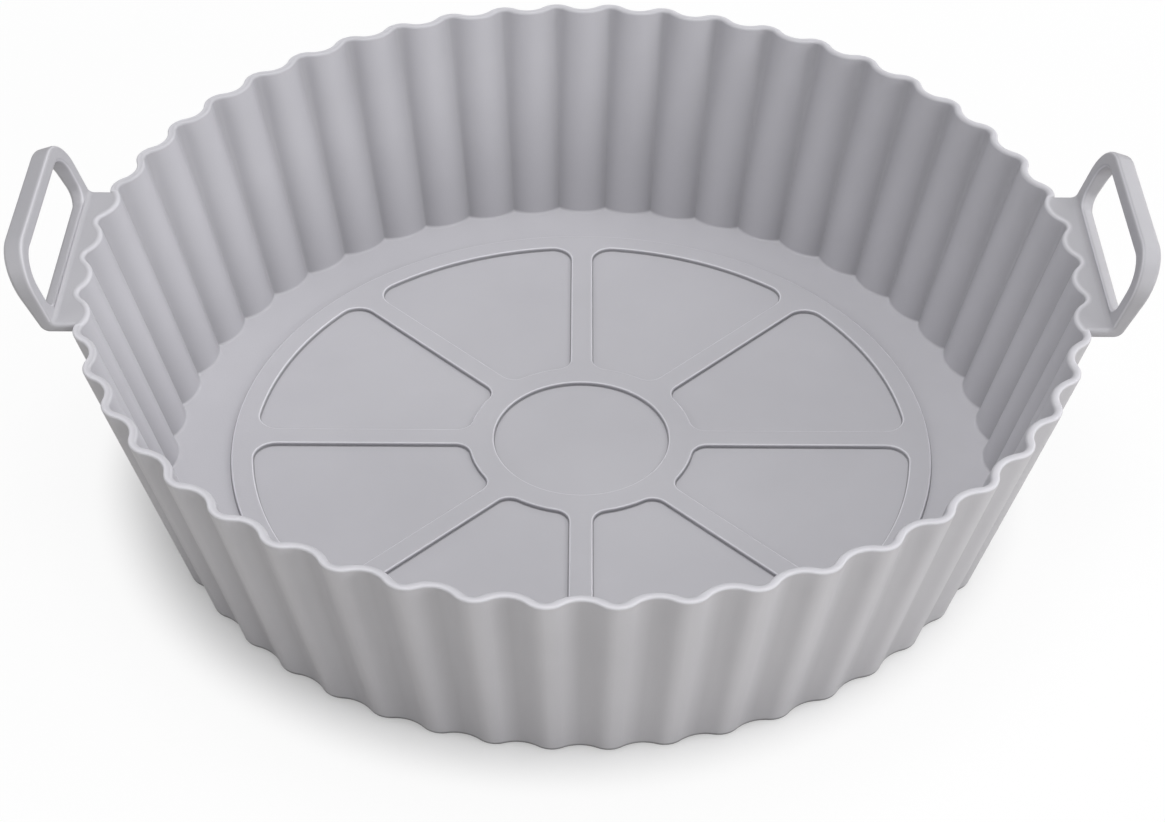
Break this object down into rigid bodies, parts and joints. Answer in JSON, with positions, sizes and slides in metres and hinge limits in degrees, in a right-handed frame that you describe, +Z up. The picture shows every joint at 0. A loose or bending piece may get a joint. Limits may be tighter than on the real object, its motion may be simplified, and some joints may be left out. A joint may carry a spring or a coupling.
{
  "type": "air fryer liner",
  "caption": "Round silicone air fryer liner with a fluted wall, a ribbed floor of raised spokes and rings, and a finger loop on each side of the rim",
  "frame": {"origin": "centre of the flat underside, on the surface the liner stands on", "axes": "+Z up through the open top, +X through the middle of one handle, -Y towards the viewer of the picture"},
  "size_m": [0.2192, 0.1996, 0.0633],
  "materials": {
    "silicone": "matte light grey silicone"
  },
  "bodies": {
    "root": {"liner": "silicone"}
  },
  "joints": []
}
